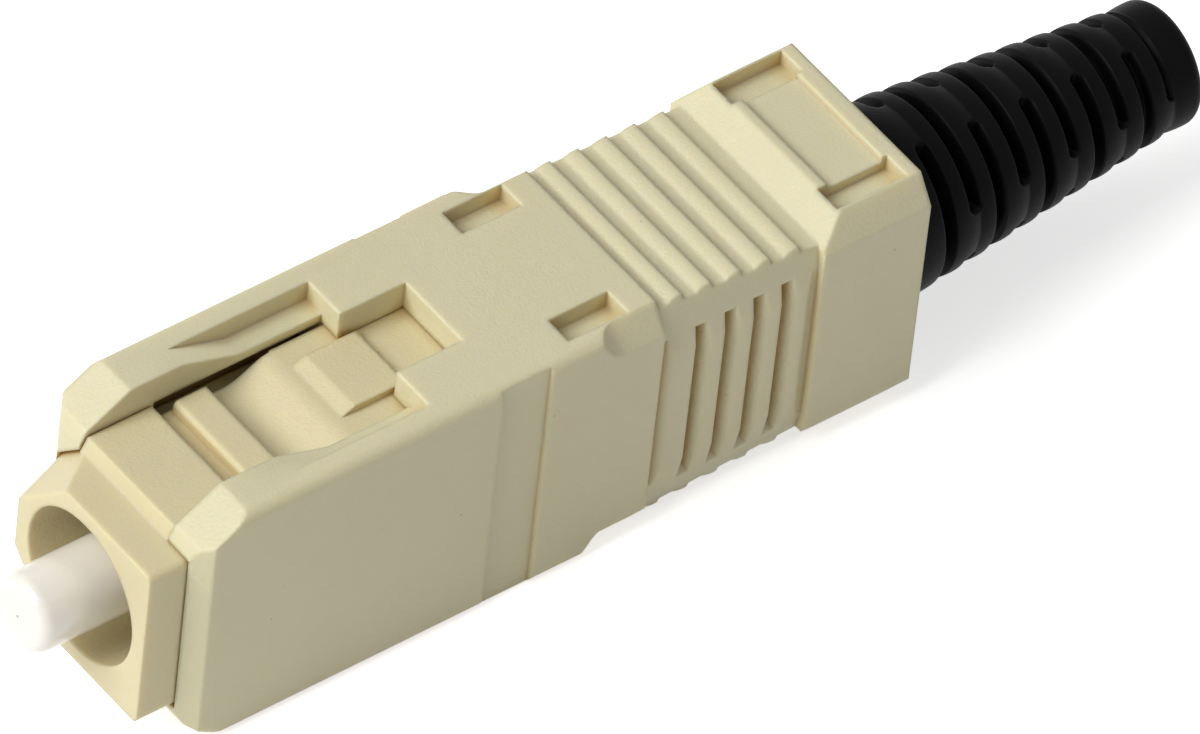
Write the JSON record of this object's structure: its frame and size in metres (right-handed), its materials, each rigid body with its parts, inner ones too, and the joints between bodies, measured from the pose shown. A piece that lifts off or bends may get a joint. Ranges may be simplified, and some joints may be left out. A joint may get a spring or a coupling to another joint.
{
  "type": "fibre optic plug connector",
  "caption": "Push-pull rectangular fibre optic plug with a sprung ceramic ferrule, a sliding latch grip and a flexible tapered strain relief boot.",
  "frame": {"origin": "on the ferrule axis, in the plane of the plug frame's front face", "axes": "+X along the ferrule towards the cable end, +Z towards the upper window face, +Y towards the key"},
  "size_m": [0.0416, 0.0082, 0.009],
  "materials": {
    "grip_plastic": "satin moulded",
    "frame_plastic": "satin moulded",
    "zirconia": "polished ceramic",
    "plated_brass": "nickel plated",
    "spring_steel": "drawn wire",
    "tube_plastic": "natural",
    "crimp_metal": "plain",
    "boot_rubber": "matte"
  },
  "bodies": {
    "frame_assembly": {"plug_frame": "frame_plastic", "stop_ring": "plated_brass", "fibre_tube": "tube_plastic", "crimp_sleeve": "crimp_metal", "strain_relief_boot": "boot_rubber", "ferrule_spring": "spring_steel"},
    "grip": {"outer_housing": "grip_plastic"},
    "ferrule_assembly": {"ferrule": "zirconia", "ferrule_flange": "plated_brass"}
  },
  "joints": [
    {"name": "grip_slide", "type": "slide", "parent": "frame_assembly", "child": "grip", "axis": [-1, 0, 0], "range_m": [0, 0.00175]},
    {"name": "ferrule_push", "type": "slide", "parent": "frame_assembly", "child": "ferrule_assembly", "axis": [1, 0, 0], "range_m": [0, 0.0015], "stiffness_N_per_m": 3000, "springref_m": -0.002, "deforming": ["ferrule_spring"]}
  ]
}
